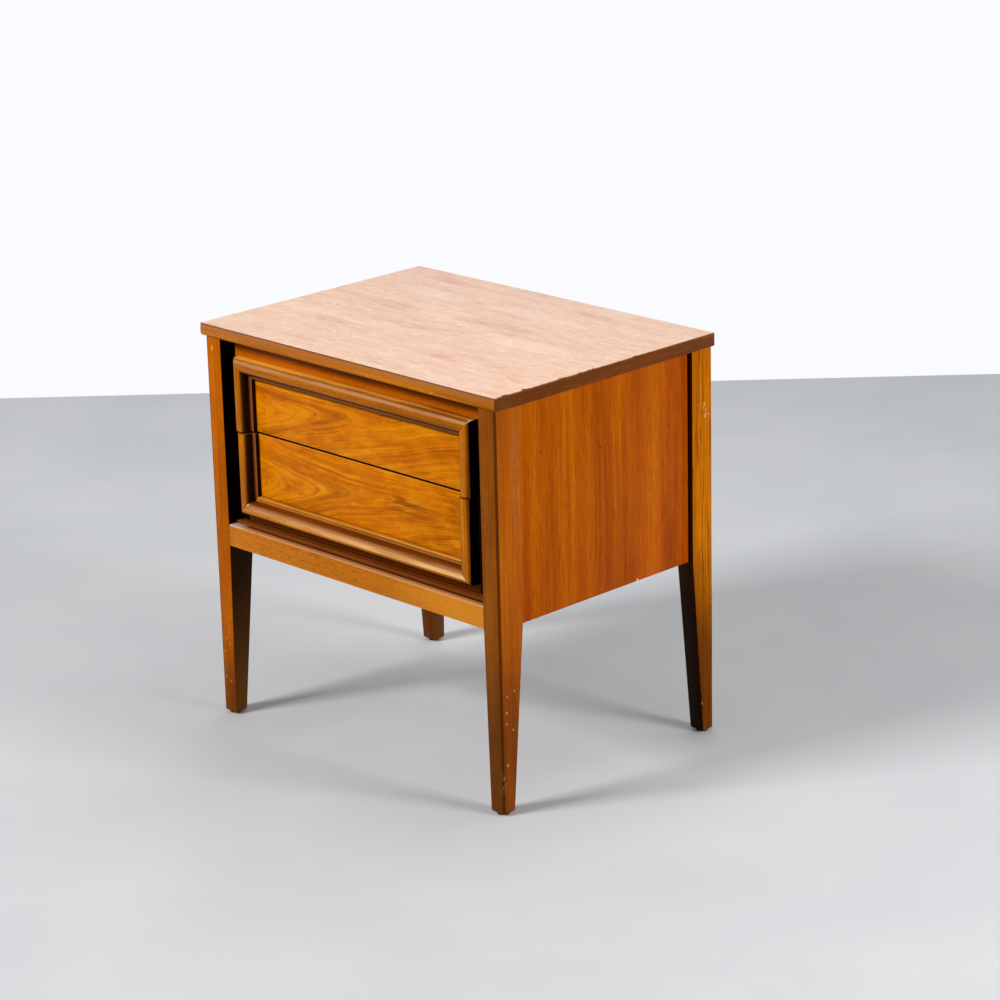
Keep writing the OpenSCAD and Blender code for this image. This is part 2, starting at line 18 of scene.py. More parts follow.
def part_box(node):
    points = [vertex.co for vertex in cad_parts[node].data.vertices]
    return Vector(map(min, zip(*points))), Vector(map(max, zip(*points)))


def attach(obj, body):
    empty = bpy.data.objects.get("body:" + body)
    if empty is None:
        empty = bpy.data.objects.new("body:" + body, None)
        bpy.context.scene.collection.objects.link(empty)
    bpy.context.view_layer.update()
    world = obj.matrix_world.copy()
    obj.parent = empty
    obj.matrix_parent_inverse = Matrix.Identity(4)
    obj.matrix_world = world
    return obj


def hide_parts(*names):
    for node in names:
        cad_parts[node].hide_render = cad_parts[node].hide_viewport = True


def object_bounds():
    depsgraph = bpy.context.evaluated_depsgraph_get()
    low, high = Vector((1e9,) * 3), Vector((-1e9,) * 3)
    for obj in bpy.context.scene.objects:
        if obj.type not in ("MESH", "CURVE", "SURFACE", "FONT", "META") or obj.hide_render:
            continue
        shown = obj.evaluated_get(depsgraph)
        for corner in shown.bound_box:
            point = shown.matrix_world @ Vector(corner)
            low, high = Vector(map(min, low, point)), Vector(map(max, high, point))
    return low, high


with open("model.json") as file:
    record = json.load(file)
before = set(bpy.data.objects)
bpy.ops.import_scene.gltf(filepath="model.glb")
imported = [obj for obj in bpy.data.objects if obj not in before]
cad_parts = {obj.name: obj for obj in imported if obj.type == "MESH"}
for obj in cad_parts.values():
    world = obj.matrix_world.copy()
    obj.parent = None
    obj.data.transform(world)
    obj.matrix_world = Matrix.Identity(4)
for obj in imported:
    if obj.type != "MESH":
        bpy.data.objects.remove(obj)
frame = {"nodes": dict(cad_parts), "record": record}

model_low, model_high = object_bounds()
print("cabinet", [round(v, 4) for v in model_high - model_low], "m, nodes", len(frame["nodes"]))

# %% [markdown]
# Every node belongs to a body that moves as one: the case, the upper drawer or the lower
# drawer. A table from node to body and from node to material slot is read from the packed
# record, so that no piece can be hung on the wrong body by a slip of the pen.

# %% Which body and which slot a node belongs to
bodies = frame["record"]["behaviour"]["bodies"]
body_of = {node: body for body, nodes in bodies.items() for node in nodes}
slot_of = {part["node"]: part["material_slot"] for part in frame["record"]["subparts"]}
print(len(body_of), "nodes in", len(bodies), "bodies,", len(set(slot_of.values())), "slots")

# %% [markdown]
# ## Camera
# The cabinet is seen from its right front corner, from a little above. A long lens from
# far away keeps the legs nearly parallel, as in a shop's picture of furniture. The camera
# is turned by three angles: round the cabinet, down towards it, and a slight tilt.

# %% Camera
turn, drop, tilt = math.radians(45.556), math.radians(18.106), math.radians(-1.405)
CAMERA_PLACE = (3.02296, -2.88736, 1.68397)
SENSOR_WIDTH, LENS = 36, 117.73

towards_camera = Vector((math.sin(turn) * math.cos(drop), -math.cos(turn) * math.cos(drop),
                         math.sin(drop)))
level = Vector((math.cos(turn), math.sin(turn), 0))
above = level.cross(-towards_camera)
to_the_right = level * math.cos(tilt) + above * math.sin(tilt)
upwards = above * math.cos(tilt) - level * math.sin(tilt)
camera = bpy.data.objects.new("camera", bpy.data.cameras.new("camera"))
camera.data.sensor_width, camera.data.lens = SENSOR_WIDTH, LENS
camera.matrix_world = Matrix((to_the_right, upwards, towards_camera)).transposed().to_4x4()
camera.location = CAMERA_PLACE
bpy.context.collection.objects.link(camera)
bpy.context.scene.camera = camera
bpy.context.scene.view_settings.view_transform = "Standard"
print("camera", round(camera.location.length, 2), "m away, lens", LENS, "mm")

# %% [markdown]
# ## Signals
# Grain, pores and wear are numbers that change over a surface. In Blender each of them
# is a node's socket. A small class wraps a socket, and its operators add Math nodes, so
# that a mask can be written as a sum. It keeps the recipes below short and readable.

# %% Numbers that change over a surface
class Signal:
    """One output of a material's nodes, used like a number."""

    def __init__(self, finish, socket):
        self.finish, self.socket = finish, socket

    def math(self, operation, *values):
        return self.finish.node("ShaderNodeMath", {"operation": operation}, dict(enumerate(values)))

    def __add__(self, other):
        return self.math("ADD", self, other)

    def __sub__(self, other):
        return self.math("SUBTRACT", self, other)

    def __rsub__(self, other):
        return self.math("SUBTRACT", other, self)

    def __mul__(self, other):
        return self.math("MULTIPLY", self, other)

    def __truediv__(self, other):
        return self.math("DIVIDE", self, other)

    def __pow__(self, other):
        return self.math("POWER", self, other)

    def __abs__(self):
        return self.math("ABSOLUTE", self)

    __radd__, __rmul__ = __add__, __mul__


# %% [markdown]
# A finish is one material. It starts as Blender's Principled shader with the numbers
# that are the same all over, such as how glossy the lacquer is. Patterns read the
# object's own coordinates in metres, because every piece of this cabinet keeps its place
# in its mesh: a pore is then equally wide on every board. The finish remembers its
# colour so far, the skin, and each layer of stain or wear is laid over it.

# %% A finish and its nodes
class Finish:
    """A material that is painted with signals."""

    def __init__(self, name, **shader_numbers):
        self.material = bpy.data.materials.new(name)
        self.material.use_nodes = True
        self.tree = self.material.node_tree
        self.shader = next(n for n in self.tree.nodes if n.type == "BSDF_PRINCIPLED")
        for socket, value in shader_numbers.items():
            self.shader.inputs[socket.replace("_", " ")].default_value = value
        self.place = self.node("ShaderNodeTexCoord", {}, {}, "Object")
        self.x, self.y, self.z = self.split(self.place)
        self.facing = self.split(self.node("ShaderNodeTexCoord", {}, {}, "Normal"))
        self.skin = None

    def node(self, kind, settings, values, *outputs):
        """Adds a node: its settings first, then its sockets, and returns its outputs."""
        made = self.tree.nodes.new(kind)
        for name, value in settings.items():
            if name == "stops":
                for _ in range(len(value) - 2):
                    made.color_ramp.elements.new(0.5)
                for element, (position, tone) in zip(made.color_ramp.elements, value):
                    element.position, element.color = position, tone
            else:
                setattr(made, name, value)
        for key, value in values.items():
            socket = made.inputs[key] if isinstance(key, int) else \
                next(s for s in made.inputs if key in (s.identifier, s.name))
            if isinstance(value, Signal):
                self.tree.links.new(value.socket, socket)
            else:
                socket.default_value = value
        signals = [Signal(self, next(s for s in made.outputs if name in (s.identifier, s.name)))
                   for name in outputs or (made.outputs[0].name,)]
        return signals[0] if len(signals) == 1 else signals

    def paint(self, **signals):
        """Links signals to the shader's sockets of the same names."""
        for socket, signal in signals.items():
            self.tree.links.new(signal.socket, self.shader.inputs[socket.replace("_", " ")])
        return self

    def mix(self, mask, under, over, how="MIX"):
        """The colour `under`, with `over` laid on it where the mask is 1."""
        return self.node("ShaderNodeMix", {"data_type": "RGBA", "blend_type": how},
                         {"Factor_Float": mask, "A_Color": under, "B_Color": over}, "Result_Color")

    def over(self, mask, tone):
        """Lays a tone over the skin where the mask is 1."""
        self.skin = self.mix(mask, self.skin, tone)

    def dim(self, mask, shares):
        """Lets only these shares of the skin's light through where the mask is 1."""
        self.skin = self.mix(mask, self.skin, shares, "MULTIPLY")

    def ramp(self, signal, *stops):
        return self.node("ShaderNodeValToRGB", {"stops": stops}, {"Fac": signal}, "Color")

    def highest(self, one, other):
        return self.node("ShaderNodeMath", {"operation": "MAXIMUM"}, {0: one, 1: other})

    def rise(self, signal, low, high):
        """0 below `low`, 1 above `high`, and a soft step between. It falls if low is above high."""
        return self.node("ShaderNodeMapRange", {"interpolation_type": "SMOOTHSTEP"},
                         {"Value": signal, "From Min": low, "From Max": high}, "Result")

    def split(self, vector):
        return self.node("ShaderNodeSeparateXYZ", {}, {"Vector": vector}, "X", "Y", "Z")

    def vector(self, x, y, z):
        return self.node("ShaderNodeCombineXYZ", {}, {"X": x, "Y": y, "Z": z}, "Vector")

    def scaled(self, vector, *factors):
        return self.node("ShaderNodeVectorMath", {"operation": "MULTIPLY"},
                         {0: vector, 1: factors}, "Vector")

    def noise(self, vector, detail=2.0, roughness=0.5, output="Fac"):
        return self.node("ShaderNodeTexNoise", {"noise_dimensions": "3D"},
                         {"Vector": vector, "Scale": 1.0, "Detail": detail,
                          "Roughness": roughness}, output)

    def spots(self, x, y, z, detail=2.0, roughness=0.5):
        """Noise with this many marks in a metre along each axis."""
        return self.noise(self.scaled(self.place, x, y, z), detail, roughness)

    def bump(self, height, distance):
        return self.node("ShaderNodeBump", {},
                         {"Strength": 1.0, "Distance": distance, "Height": height}, "Normal")


def colour(red, green, blue):
    """A colour from 0 to 255, as a paint shop writes it, in the linear light of shaders."""
    shares = [part / 255 for part in (red, green, blue)]
    light = [c / 12.92 if c < 11 / 255 else ((c + 0.055) / 1.055) ** 2.4 for c in shares]
    return (*light, 1.0)


print("walnut brown in linear light", [round(c, 3) for c in colour(150, 80, 20)[:3]])

# %% [markdown]
# ## Floor
# A plain pale floor ends behind the cabinet. It could be a huge sheet that curves up into
# a wall, but a plane whose far edge lies square to the view gives a clean horizon.

# %% Floor
FLOOR_WIDTH, FLOOR_BEHIND, FLOOR_AHEAD = 14, 1.65, -9

bpy.ops.object.select_all(action="DESELECT")
bpy.ops.mesh.primitive_plane_add(size=1, location=(0, 0, 0))
floor = bpy.context.object
floor.name = "floor"
away = Vector((-math.sin(turn), math.cos(turn), 0))
for vertex in floor.data.vertices:
    across, depth = vertex.co.x * FLOOR_WIDTH, FLOOR_BEHIND if vertex.co.y > 0 else FLOOR_AHEAD
    vertex.co = level * across + away * depth
floor_finish = Finish("pale_floor", Roughness=0.7)
floor_finish.paint(Base_Color=floor_finish.ramp(
    floor_finish.spots(3, 3, 3, 4), (0.3, colour(194, 198, 203)), (0.7, colour(203, 206, 210))))
floor.data.materials.append(floor_finish.material)
print("floor", FLOOR_WIDTH, "m wide and", FLOOR_BEHIND - FLOOR_AHEAD, "m deep")

# %% [markdown]
# ## White background
# A white studio lies beyond the floor. A white world would also light the cabinet from
# all sides and leave no shadows. So only the camera and mirror-like reflections see it as
# white. As a light it is dimmer, and the lamps can model the form.

# %% White background
SKY_AS_LIGHT, SKY_AS_SEEN = ((1.0, 0.99, 0.97, 1), 0.15), ((0.955, 0.965, 0.99, 1), 1.0)

world = bpy.data.worlds.new("studio")
world.use_nodes = True
bpy.context.scene.world = world
wires = world.node_tree
wires.nodes.clear()
skies = []
for tint, strength in (SKY_AS_LIGHT, SKY_AS_SEEN):
    sky = wires.nodes.new("ShaderNodeBackground")
    sky.inputs["Color"].default_value, sky.inputs["Strength"].default_value = tint, strength
    skies.append(sky.outputs[0])
rays = wires.nodes.new("ShaderNodeLightPath")
direct = rays.outputs["Is Camera Ray"]
for kind in ("Is Glossy Ray", "Is Transmission Ray"):
    either = wires.nodes.new("ShaderNodeMath")
    either.operation = "MAXIMUM"
    wires.links.new(direct, either.inputs[0])
    wires.links.new(rays.outputs[kind], either.inputs[1])
    direct = either.outputs[0]
choice = wires.nodes.new("ShaderNodeMixShader")
for socket, signal in zip(choice.inputs, (direct, *skies)):
    wires.links.new(signal, socket)
wires.links.new(choice.outputs[0], wires.nodes.new("ShaderNodeOutputWorld").inputs[0])
print("world light", SKY_AS_LIGHT[1])

# %% [markdown]
# ## Lamps
# Furniture is lit by large soft lamps, because small ones make hard spots in the lacquer.
# One stands in front on the left, a weaker one on the right, and a faint one hangs above.

# %% Lamps
LAMPS_AIM_AT = Vector((0, 0, 0.35))
WARM, NEARLY_WHITE = (1.0, 0.985, 0.96), (1.0, 0.99, 0.98)
LAMPS = {  # place and size in metres, power in watts, tint
    "front_softbox": ((-1.71, -4.69, 3.68), (1.7, 1.4), 325, WARM),
    "right_softbox": ((3.0, 0.7, 1.55), (0.9, 0.9), 62, WARM),
    "ceiling_softbox": ((-0.2, 0.9, 3.2), (2.4, 2.4), 32, NEARLY_WHITE),
}
for name, (place, size, power, tint) in LAMPS.items():
    lamp = bpy.data.objects.new(name, bpy.data.lights.new(name, "AREA"))
    lamp.data.shape, lamp.data.size, lamp.data.size_y = "RECTANGLE", *size
    lamp.data.energy, lamp.data.color = power, tint
    lamp.location = place
    lamp.rotation_euler = (LAMPS_AIM_AT - lamp.location).to_track_quat("-Z", "Y").to_euler()
    bpy.context.collection.objects.link(lamp)
    print(name, power, "W,", round(lamp.location.length, 2), "m away")

# %% [markdown]
# ## Eased edges
# No wooden edge is really sharp: sandpaper takes off half a millimetre, and that strip
# catches the light. A copy of the model's node gets this treatment. Its loose triangles
# are merged, flat faces are joined again, and a Bevel modifier rounds every edge that is
# sharper than thirty degrees. The alternative is a shader that only bends the normals,
# but it leaves the outline sharp and is lost when the model is exported.

# %% A copy of a node with eased edges
SAME_PLACE = 0.00001  # corners closer than this are one corner
FLAT, SHARP, SMOOTH = math.radians(0.5), math.radians(30), math.radians(35)
EASED = {  # bevel widths in metres
    "sheet": 0.0002, "veneer": 0.0004, "board": 0.0005, "leg": 0.0006, "front": 0.0008,
    "grip": 0.0012,
}


def pick(piece):
    """Makes a piece the only selected and the active one."""
    bpy.ops.object.select_all(action="DESELECT")
    piece.select_set(True)
    bpy.context.view_layer.objects.active = piece


def as_piece(node):
    """A merged copy of a CAD node that takes the node's place."""
    piece = bpy.data.objects.new(node + "_made", frame["nodes"][node].data.copy())
    bpy.context.collection.objects.link(piece)
    pick(piece)
    bpy.ops.object.mode_set(mode="EDIT")
    bpy.ops.mesh.select_all(action="SELECT")
    bpy.ops.mesh.remove_doubles(threshold=SAME_PLACE)
    bpy.ops.mesh.dissolve_limited(angle_limit=FLAT)
    bpy.ops.object.mode_set(mode="OBJECT")
    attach(piece, body_of[node])
    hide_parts(node)
    return piece


def ease(piece, kind):
    """Rounds the sharp edges of a piece by the bevel for this kind of edge."""
    pick(piece)
    bevel = piece.modifiers.new("eased edges", "BEVEL")
    bevel.width, bevel.segments, bevel.use_clamp_overlap = EASED[kind], 2, False
    bevel.limit_method, bevel.angle_limit = "ANGLE", SHARP
    bpy.ops.object.modifier_apply(modifier=bevel.name)
    bpy.ops.object.shade_smooth_by_angle(angle=SMOOTH)
    return piece


def dress(finish, *things):
    """Gives nodes or pieces a finish in place of what they have."""
    for thing in things:
        target = frame["nodes"].get(thing, thing)
        target.data.materials.clear()
        target.data.materials.append(finish.material)


print("bevels in millimetres", {kind: width * 1000 for kind, width in EASED.items()})

# %% [markdown]
# ## Wood
# Wood shows three things at once: broad bands where the colour drifts, growth lines that
# run along the board, and pores, which are short dark scratches. All of them are the same
# noise, squeezed across the grain and drawn out along it. A slow sway bends the lines a
# little, because no tree grows straight. Blender's Wave texture draws lines as well, but
# they are too regular for a board. A wood has a dark, a middle and a light tone.

# %% Tones of a wood
def shades(red, green, blue, spread=0.16):
    """A dark, a middle and a light tone. Green moves more than red, so the dark is redder."""
    parts = (red, 0.8), (green, 1.0), (blue, 1.3)
    return [colour(*(min(255, part * (1 + side * spread * share)) for part, share in parts))
            for side in (-1, 0, 1)]


def darker(red, green, blue):
    """A colour to multiply with. It is given in shares of the light that stays."""
    return (red, green, blue, 1.0)


print("leg tones", [[round(part, 2) for part in tone[:3]] for tone in shades(168, 84, 0)])

# %% [markdown]
# The lacquer over the walnut is satin, so its reflections are weak and a little warm. The
# grain itself is a class, because each board needs the same nodes with its own direction
# and its own numbers. Wear and painted light and shade are found by their place on the
# board: `near` makes a soft spot, and `marks` makes small dents with ragged outlines.

# %% Wood grain
X, Y, Z = 0, 1, 2
LACQUER = {"Roughness": 0.4, "Specular_IOR_Level": 0.09, "Specular_Tint": (1.0, 0.6, 0.25, 1.0)}
GLOSSY_LACQUER = {"Roughness": 0.36, "Specular_IOR_Level": 0.1,
                  "Specular_Tint": (1.0, 0.7, 0.4, 1.0)}
PORE_DEPTH = 0.00005
SHADE_BLACK = colour(16, 4, 1)


class Wood(Finish):
    """A board with its grain along axis X, Y or Z."""

    def __init__(self, name, along, sway=0.004, **shader_numbers):
        super().__init__(name, **{**LACQUER, **shader_numbers})
        self.along = along
        shift = self.noise(self.scaled(self.place, 5, 5, 5), 1, output="Color")
        self.bent = self.node("ShaderNodeVectorMath", {"operation": "MULTIPLY_ADD"},
                              {0: shift, 1: (sway, sway, sway), 2: self.place}, "Vector")
        self.pore = self.rise(self.drawn_out(1500, 150, 1), 0.57, 0.70)
        self.fleck = self.rise(self.drawn_out(700, 130, 3, 0.7), 0.52, 0.66)
        self.fibre = self.drawn_out(900, 30, 3, 0.65)

    def drawn_out(self, across, length, detail=2.0, roughness=0.5):
        """Noise with this many marks in a metre across the grain and along it."""
        factors = [across] * 3
        factors[self.along] = length
        return self.noise(self.scaled(self.bent, *factors), detail, roughness)

    def board(self, tones, lines=420, bands=40, pores=0.5):
        """The colour of plain sawn boards. Tones run from dark to light."""
        dark, middle, light = tones
        tone = self.drawn_out(bands, bands / 20, 2, 0.6) * 0.4 \
            + self.drawn_out(lines, lines / 50, 3, 0.65) * 0.35 + self.spots(12, 12, 12, 3) * 0.25
        wooden = self.ramp(tone, (0.36, dark), (0.5, middle), (0.64, light))
        wooden = self.mix(self.rise(self.fibre, 0.5, 0.32) * 0.3, wooden, dark)
        scratched = self.highest(self.pore, self.fleck * 0.8) * pores
        return self.mix(scratched, wooden, darker(0.55, 0.48, 0.4), "MULTIPLY")

    def lay(self):
        """Puts the skin on the shader, with pores a little below the surface."""
        return self.paint(Base_Color=self.skin,
                          Normal=self.bump(self.fibre * 0.2 - self.pore, PORE_DEPTH))

    def near(self, x, y, z, *size):
        """1 at a place on the board, falling to 0 at these distances from it."""
        offsets = [(signal - middle) / reach for signal, middle, reach
                   in zip((self.x, self.y, self.z), (x, y, z), size)]
        return self.rise(sum(o * o for o in offsets), 1.0, 0.0)

    def marks(self, axis, size, *places):
        """Small dents in the faces that look along an axis, one way or the other. Places are
        given in millimetres along the other two axes, with a factor for the size if need be."""
        flat = [signal for number, signal in enumerate((self.x, self.y, self.z)) if number != axis]
        ragged = self.spots(700, 700, 700, 2) * 1.6 - 0.3
        found = 0.0
        for one, other, *bigger in places:
            reach = size * (bigger[0] if bigger else 1)
            wide, long = [(signal - middle / 1000) / reach
                          for signal, middle in zip(flat, (one, other))]
            found = self.highest(found, 1.0 - (wide * wide + long * long * 0.4))
        return self.rise(found + ragged * 0.7, 0.55, 0.8) * self.rise(found, 0.0, 0.05) \
            * self.rise(abs(self.facing[axis]), 0.8, 0.95)


print("lacquer roughness", LACQUER["Roughness"], "and glossier", GLOSSY_LACQUER["Roughness"])

# %% [markdown]
# ## Painted shade in the gaps
# All that faces the gaps beside the drawers lies in deep shade, and that shade is painted:
# those faces get a nearly black finish. It is a flat black without lacquer, so it gets a
# finish of its own. A mask in each wood could do it too, but this black has its own
# roughness and a sharp border. So faces are chosen by where they look and where they are,
# and take the second material.

# %% Painted shade in the gaps
gap_shade_black = Wood("gap_shade_black", Z, Roughness=0.8, Specular_IOR_Level=0.0)
gap_shade_black.paint(Base_Color=gap_shade_black.board(
    (colour(8, 2, 1), colour(11, 3, 1), colour(15, 5, 2)), lines=300))


# The second finish is painted shade: nearly black where the gaps are in deep shade.
def paint_gap_shade(piece, chosen):
    """Gives the second finish to the faces for which `chosen(normal, centre)` is true."""
    piece.data.materials.append(gap_shade_black.material)
    shaded_faces = [face for face in piece.data.polygons if chosen(face.normal, face.center)]
    for face in shaded_faces:
        face.material_index = 1
    return len(shaded_faces)


print("paint_gap_shade", gap_shade_black.material.name)

# %% [markdown]
# ## Legs
# Each leg is one walnut post with its grain upright, so every leg gets its own tone. All
# legs darken towards the foot with painted shade, and the faces that look forward carry
# painted shade too. The inner face of each leg is painted nearly black above the rail, as
# painted shade in the gaps, and a duller brown below it, as painted shade under the case.
# Both are found by the direction the face looks in. The front legs have a dark line down
# their eased corner, and shoes and vacuum cleaners have left small dents in the lacquer.
# Such dents are hardly deeper than a hair, so colour shows them well enough. The near leg
# has a pale patch near its foot, and by the panel a paler one that is wear with a painted
# sheen over it.

# %% Tones and dents of the legs
case_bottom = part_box("front_bottom_rail")[0].z
DENT_SIZE, LOOKS_INWARDS = 0.0012, -0.6
CORNER_LINE = 0.0032, 0.0024  # where the dark line begins and ends, from the corner inwards
# The heights and the light that stays at the foot set the painted shade towards the floor; the last
# column is painted shade on faces that look forward.
LEGS = {  # middle tone, heights between which it darkens, light that stays at the foot, in front
    "front_left_leg": ((168, 84, 0), (0.15, 0.005), darker(0.44, 0.44, 0.25), darker(1, 1, 1)),
    "front_right_leg": ((169, 84, 3), (0.31, 0.11), darker(0.56, 0.54, 0.8),
                        darker(0.54, 0.62, 0.6)),
    "rear_left_leg": ((176, 96, 6), (0.31, 0.11), darker(0.55, 0.5, 0.6), darker(0.5, 0.45, 0.4)),
    "rear_right_leg": ((190, 106, 0), (0.31, 0.11), darker(0.33, 0.27, 0.4),
                       darker(0.07, 0.05, 0.3)),
}
DENTS = {  # axis the dented face looks along, tone of the dents, places
    "front_left_leg": (Y, colour(222, 152, 74), (-263, 525.7, 2.2), (-255.8, 143.6),
                       (-263.6, 110.5), (-256.3, 103.9), (-268, 90), (-268, 52.6), (-258, 48.3)),
    "front_right_leg": (X, colour(214, 176, 132), (-174.8, 166.5), (-187.5, 162),
                        (-189, 140.5, 1.3), (-189.5, 125.5), (-178, 114.5), (-188.8, 68.6, 1.3)),
    "rear_right_leg": (X, colour(214, 176, 132), (187.8, 464, 1.6), (186, 459), (190.5, 456),
                       (188.5, 447.6, 1.6), (192, 450), (197, 449), (181, 44)),
}
print("dents", {node: len(dents) - 2 for node, dents in DENTS.items()})

# %% Legs
def leg_finish(node):
    """Upright walnut in the leg's own tone, with the stain and the wear of its place."""
    low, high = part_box(node)
    side, front = (1 if high.x > 0 else -1), high.y < 0
    tone, shaded, foot_shade, forward_shade = LEGS[node]
    finish = Wood(node + "_walnut", Z, Specular_IOR_Level=0.06)
    finish.skin = finish.board(shades(*tone), lines=520 if front else 330, bands=90)
    if not front:
        growth = abs(finish.drawn_out(190, 4, 2) - 0.5)
        finish.over(finish.rise(growth, 0.03, 0.0) * 0.8, colour(104, 54, 0))
    # Painted shade: darker towards the foot.
    finish.dim(finish.rise(finish.z, *shaded), foot_shade)
    # Painted shade on the faces that look forward.
    finish.dim(finish.rise(finish.facing[Y], -0.5, -0.9), forward_shade)
    # Painted shade on the inner faces under the case.
    shade_under_case = colour(100, 57, 24)
    if front and side < 0:
        shade_under_case = finish.mix(finish.rise(finish.z, 0.23, 0.03), colour(44, 20, 2),
                                colour(104, 62, 14))
    finish.over(finish.rise(finish.facing[X] * -side, 0.55, 0.8), shade_under_case)
    if front:
        outer = high.x if side > 0 else -low.x
        corner = finish.rise(finish.x * side, *(outer - reach for reach in CORNER_LINE)) \
            * finish.rise(finish.y, *(low.y + reach for reach in CORNER_LINE))
        finish.over(corner * 0.85, colour(66, 32, 6))
    if node in DENTS:
        axis, bare_wood, *places = DENTS[node]
        finish.over(finish.marks(axis, DENT_SIZE, *places) * 0.65, bare_wood)
    # A pale patch near the foot, and by the panel wear with a painted sheen over it.
    if node == "front_right_leg":
        wear_and_sheen = finish.rise(finish.spots(420, 420, 160, 3, 0.7), 0.52, 0.66)
        low_corner = finish.near(low.x + 0.029, low.y, 0.045, 0.006, 0.006, 0.022)
        sheen_by_panel = finish.near(high.x, high.y - 0.006, 0.455, 0.004, 0.012, 0.12)
        finish.over(low_corner * wear_and_sheen * 0.7, colour(196, 150, 112))
        finish.over(sheen_by_panel * (wear_and_sheen * 0.22 + 0.08), colour(210, 136, 84))
    return finish.lay()


for node in LEGS:
    leg = ease(as_piece(node), "leg")
    dress(leg_finish(node), leg)
    side = 1 if leg.data.vertices[0].co.x > 0 else -1
    # Painted shade: the inner faces above the rail take the flat black.
    black = paint_gap_shade(leg, lambda normal, centre: normal.x * side < LOOKS_INWARDS
                  and centre.z > case_bottom)
    print(leg.name, len(leg.data.polygons), "faces,", black, "of them black")

# %% [markdown]
# ## Rail and stiles
# The rail under the drawers is plain walnut with short pores, and lighter to the right.
# Its upper edge carries a painted highlight, its upper face behind that edge carries
# painted shade from the mouldings above, and the left corner is pale. These marks could be
# drawn on an unwrapped picture of the rail, but then they would have to be redrawn for each
# change. Here they are measured from the rail's own box and follow it. The stiles beside
# the drawers are painted nearly black, as painted shade in the finger gaps.

# %% Rail and stiles
rail_low, rail_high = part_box("front_bottom_rail")
rail = Wood("rail_walnut", X)
rail.skin = rail.board(shades(184, 105, 6, 0.14), lines=480, bands=60, pores=0.9)
short_pores = rail.rise(rail.drawn_out(460, 110, 3, 0.7), 0.50, 0.62)
rail.dim(short_pores * 0.4, darker(0.5, 0.46, 0.4))
rail.over(rail.rise(rail.x, 0.0, 0.22) * 0.65, colour(214, 138, 40))
# Painted shade on the upper face behind the edge, under the mouldings.
shade_on_rail_top = rail.rise(rail.z, rail_high.z - 0.0012, rail_high.z - 0.0004) \
    * rail.rise(rail.y, rail_low.y + 0.006, rail_low.y + 0.009)
rail.over(shade_on_rail_top, colour(66, 28, 6))
# Painted highlight along the upper edge.
highlight = rail.rise(rail.z, rail_high.z - 0.0030, rail_high.z - 0.0012) * (1.0 - shade_on_rail_top)
rail.over(highlight * 0.45, colour(214, 160, 116))
# A pale patch in the left corner.
pale_corner = rail.rise(rail.x, rail_low.x + 0.035, rail_low.x + 0.012) \
    * rail.rise(rail.z, rail_high.z - 0.002, rail_high.z - 0.001)
rail.over(pale_corner * 0.8, colour(196, 184, 176))
dress(rail.lay(), ease(as_piece("front_bottom_rail"), "board"))
# Painted shade: the stiles in the finger gaps are nearly black.
stile = Wood("stile_walnut", Z)
stile.skin = stile.board((colour(10, 3, 1), SHADE_BLACK, colour(22, 7, 2)))
dress(stile.lay(), "left_front_stile", "right_front_stile")
print("rail", [round(v * 1000, 1) for v in rail_high - rail_low], "mm")

# %% [markdown]
# ## Front edging
# A solid strip closes the top at the front, over its whole width. A hand plane has left
# its face a little crowned: it falls back towards the laminate, and that upper part
# mirrors the bright room. A wide bevel would round it too evenly. So the strip is cut by
# level planes, and each row of edges is moved back in step with the square of its height
# above the crown's foot, as on a large circle.

# %% A crowned front
CROWN_FOOT, CROWN_RADIUS, CROWN_STEPS = 0.5485, 0.036, 5


def set_back(level_z):
    """How far the crowned face lies behind the strip's front at this height."""
    return (level_z - CROWN_FOOT) ** 2 / 2 / CROWN_RADIUS


def crown(piece):
    """Rounds the front face of a piece backwards above the crown's foot."""
    low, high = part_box(piece.name.removesuffix("_made"))
    levels = [CROWN_FOOT + (high.z - CROWN_FOOT) * step / CROWN_STEPS
              for step in range(CROWN_STEPS)]
    pick(piece)
    bpy.ops.object.mode_set(mode="EDIT")
    for level_z in levels:
        bpy.ops.mesh.select_all(action="SELECT")
        bpy.ops.mesh.bisect(plane_co=(0, 0, level_z), plane_no=(0, 0, 1))
    bpy.ops.object.mode_set(mode="OBJECT")
    for level_z in levels[1:] + [high.z]:
        for part in (*piece.data.polygons, *piece.data.edges):
            part.select = False
        for vertex in piece.data.vertices:
            vertex.select = abs(vertex.co.z - level_z) < SAME_PLACE \
                and vertex.co.y < low.y + SAME_PLACE
        bpy.ops.object.mode_set(mode="EDIT")
        bpy.ops.mesh.select_mode(type="VERT")
        bpy.ops.transform.translate(value=(0, set_back(level_z), 0))
        bpy.ops.object.mode_set(mode="OBJECT")
    return piece


front_edging = ease(crown(as_piece("top_front_edging")), "front")
print("front edging", len(front_edging.data.polygons), "faces")

# %% [markdown]
# Its finish is a streaky walnut under the glossier lacquer, and its upper part carries a
# painted reflection of the bright room. The ends show dark end grain and the pale joint
# behind the strip, and one nick has gone through to bare wood.

# %% Finish of the front edging
MIRRORS = 0.5460, 0.5530  # heights at which the mirrored light begins and is full
edging_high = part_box("top_front_edging")[1]
edging = Wood("front_edging_walnut", X, **GLOSSY_LACQUER)
edging.skin = edging.board(shades(186, 108, 0, 0.18), lines=300, bands=70, pores=0.8)
edging.over(edging.rise(edging.drawn_out(170, 5, 3, 0.6), 0.52, 0.64) * 0.5, colour(122, 64, 0))
